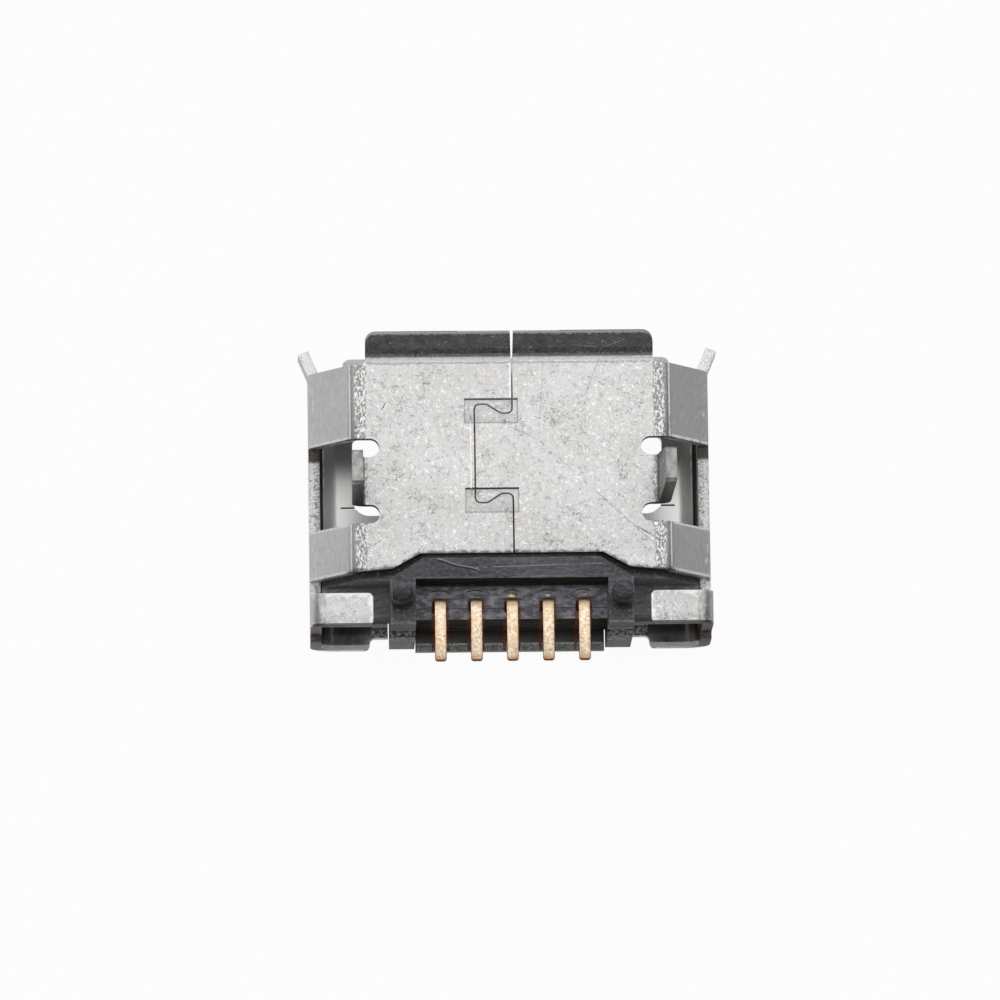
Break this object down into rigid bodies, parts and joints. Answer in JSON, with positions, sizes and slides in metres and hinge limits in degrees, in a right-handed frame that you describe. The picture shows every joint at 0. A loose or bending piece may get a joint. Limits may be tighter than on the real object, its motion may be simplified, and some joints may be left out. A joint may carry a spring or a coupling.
{
  "type": "micro usb socket",
  "caption": "Surface-mount micro USB receptacle: folded metal shell with flared lips, board legs and solder feet, a moulded tongue and bent contacts.",
  "frame": {"origin": "centre of the box that holds the socket, at the plane it rests on", "axes": "+X across the mouth, +Y out of the mouth, +Z towards the circuit board that it is soldered to"},
  "size_m": [0.0076, 0.006, 0.0038],
  "materials": {
    "plated_shell": "satin nickel plate over stamped sheet",
    "black_housing": "matt black moulded resin",
    "gilt_contact": "pale gold flash over copper alloy"
  },
  "bodies": {
    "root": {"shell": "plated_shell", "housing": "black_housing", "contact_1": "gilt_contact", "contact_2": "gilt_contact", "contact_3": "gilt_contact", "contact_4": "gilt_contact", "contact_5": "gilt_contact"}
  },
  "joints": []
}
